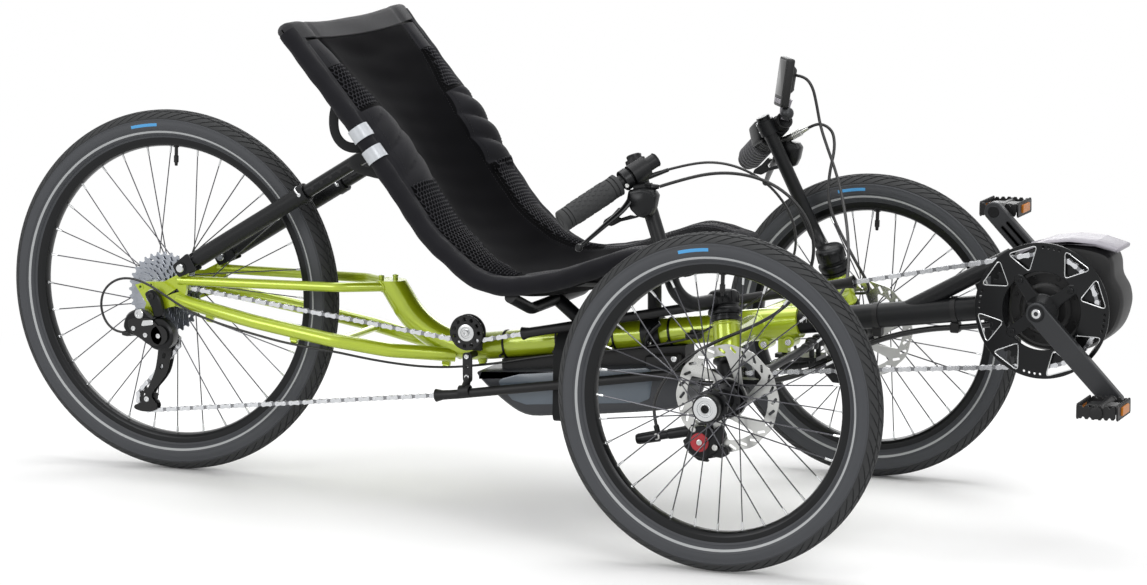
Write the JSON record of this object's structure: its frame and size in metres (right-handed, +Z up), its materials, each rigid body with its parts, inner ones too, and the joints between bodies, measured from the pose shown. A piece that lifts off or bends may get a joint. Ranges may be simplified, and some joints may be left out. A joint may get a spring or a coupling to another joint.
{
  "type": "recumbent trike",
  "caption": "Tadpole recumbent trike with a sling seat, side handlebars on steered front wheels, chain drive and a motor at the pedals.",
  "frame": {"origin": "on the ground, at the middle of the overall length and on the centre plane", "axes": "+X forward, +Y to the rider's left, +Z up"},
  "size_m": [1.9415, 0.842, 0.7609],
  "materials": {
    "frame_paint": "gloss",
    "black_paint": "satin",
    "seat_fabric": "woven",
    "tyre_rubber": "matte",
    "rim_anodised": "satin",
    "hub_anodised": "satin",
    "steel": "satin",
    "chain_steel": "satin",
    "black_plastic": "matte",
    "grey_plastic": "matte",
    "grip_rubber": "matte",
    "battery_case": "satin",
    "cable_jacket": "satin"
  },
  "bodies": {
    "frame": {"main_tube": "frame_paint", "cross_tube_right": "frame_paint", "cross_tube_left": "frame_paint", "upper_stays": "frame_paint", "chainstays": "frame_paint", "dropout_right": "frame_paint", "dropout_left": "frame_paint", "rear_axle": "steel", "boom": "black_paint", "motor": "black_plastic", "motor_cover": "grey_plastic", "battery": "battery_case", "battery_mount": "black_plastic", "motor_cable": "cable_jacket", "seat_frame": "black_paint", "seat_cover": "seat_fabric", "seat_stays_lower": "black_paint", "seat_stays_upper": "black_paint", "seat_strut": "black_paint", "chain": "chain_steel", "idler": "black_plastic", "chain_tubes": "black_plastic", "chain_tube_lower": "black_plastic", "derailleur": "black_paint", "shift_cable_rear": "cable_jacket", "shift_cable_front": "cable_jacket", "display_cable": "cable_jacket"},
    "wheel_rear": {"tyre_rear": "tyre_rubber", "rim_rear": "rim_anodised", "hub_rear": "hub_anodised", "cassette": "steel"},
    "cranks": {"chainring": "black_paint", "crank_right": "black_paint", "crank_left": "black_paint"},
    "pedal_right": {"pedal_right": "black_plastic"},
    "pedal_left": {"pedal_left": "black_plastic"},
    "relay": {"steering_plate": "black_paint"},
    "rod_right": {"tie_rod_right": "black_paint"},
    "rod_left": {"tie_rod_left": "black_paint"},
    "steer_right": {"knuckle_right": "black_paint", "brake_caliper_right": "black_paint", "handlebar_right": "black_paint", "grip_right": "grip_rubber", "brake_lever_right": "black_paint", "brake_cable_right": "cable_jacket"},
    "wheel_right": {"tyre_right": "tyre_rubber", "rim_right": "rim_anodised", "hub_right": "hub_anodised", "brake_rotor_right": "steel"},
    "steer_left": {"knuckle_left": "black_paint", "brake_caliper_left": "black_paint", "handlebar_left": "black_paint", "grip_left": "grip_rubber", "brake_lever_left": "black_paint", "brake_cable_left": "cable_jacket", "display": "black_plastic"},
    "wheel_left": {"tyre_left": "tyre_rubber", "rim_left": "rim_anodised", "hub_left": "hub_anodised", "brake_rotor_left": "steel"}
  },
  "joints": [
    {"name": "steer_right", "type": "hinge", "parent": "frame", "child": "steer_right", "pos_m": [0.40174, -0.2674, 0.32], "axis": [-0.1879, 0.2865, 0.9395], "range_deg": [-28, 28], "deforming": ["shift_cable_front"]},
    {"name": "steer_left", "type": "hinge", "parent": "frame", "child": "steer_left", "pos_m": [0.40174, 0.2674, 0.32], "axis": [-0.1879, -0.2865, 0.9395], "range_deg": [-28, 28], "deforming": ["display_cable"]},
    {"name": "relay_turn", "type": "hinge", "parent": "frame", "child": "relay", "pos_m": [0.39774, 0, 0.259], "axis": [0, 0, 1], "range_deg": [-28, 28]},
    {"name": "rod_right_turn", "type": "hinge", "parent": "relay", "child": "rod_right", "pos_m": [0.44774, -0.016, 0.281], "axis": [0.0578, 0, -0.9983], "range_deg": [-28, 28]},
    {"name": "rod_left_turn", "type": "hinge", "parent": "relay", "child": "rod_left", "pos_m": [0.44774, 0.016, 0.281], "axis": [0.0578, 0, -0.9983], "range_deg": [-28, 28]},
    {"name": "wheel_right_spin", "type": "hinge", "parent": "steer_right", "child": "wheel_right", "pos_m": [0.42374, -0.365, 0.25], "axis": [0, 1, 0], "continuous": true},
    {"name": "wheel_left_spin", "type": "hinge", "parent": "steer_left", "child": "wheel_left", "pos_m": [0.42374, 0.365, 0.25], "axis": [0, 1, 0], "continuous": true},
    {"name": "wheel_rear_spin", "type": "hinge", "parent": "frame", "child": "wheel_rear", "pos_m": [-0.67026, 0, 0.3005], "axis": [0, 1, 0], "continuous": true},
    {"name": "crank_spin", "type": "hinge", "parent": "frame", "child": "cranks", "pos_m": [0.82274, 0, 0.363], "axis": [0, 1, 0], "continuous": true},
    {"name": "pedal_right_spin", "type": "hinge", "parent": "cranks", "child": "pedal_right", "pos_m": [0.93976, -0.14, 0.23969], "axis": [0, 1, 0], "continuous": true},
    {"name": "pedal_left_spin", "type": "hinge", "parent": "cranks", "child": "pedal_left", "pos_m": [0.70572, 0.14, 0.48631], "axis": [0, 1, 0], "continuous": true}
  ],
  "couplings": [
    {"joint": "steer_left", "follows": "steer_right", "ratio": 1},
    {"joint": "relay_turn", "follows": "steer_right", "ratio": 0.9395},
    {"joint": "rod_right_turn", "follows": "steer_right", "ratio": 0.941},
    {"joint": "rod_left_turn", "follows": "steer_right", "ratio": 0.941}
  ]
}
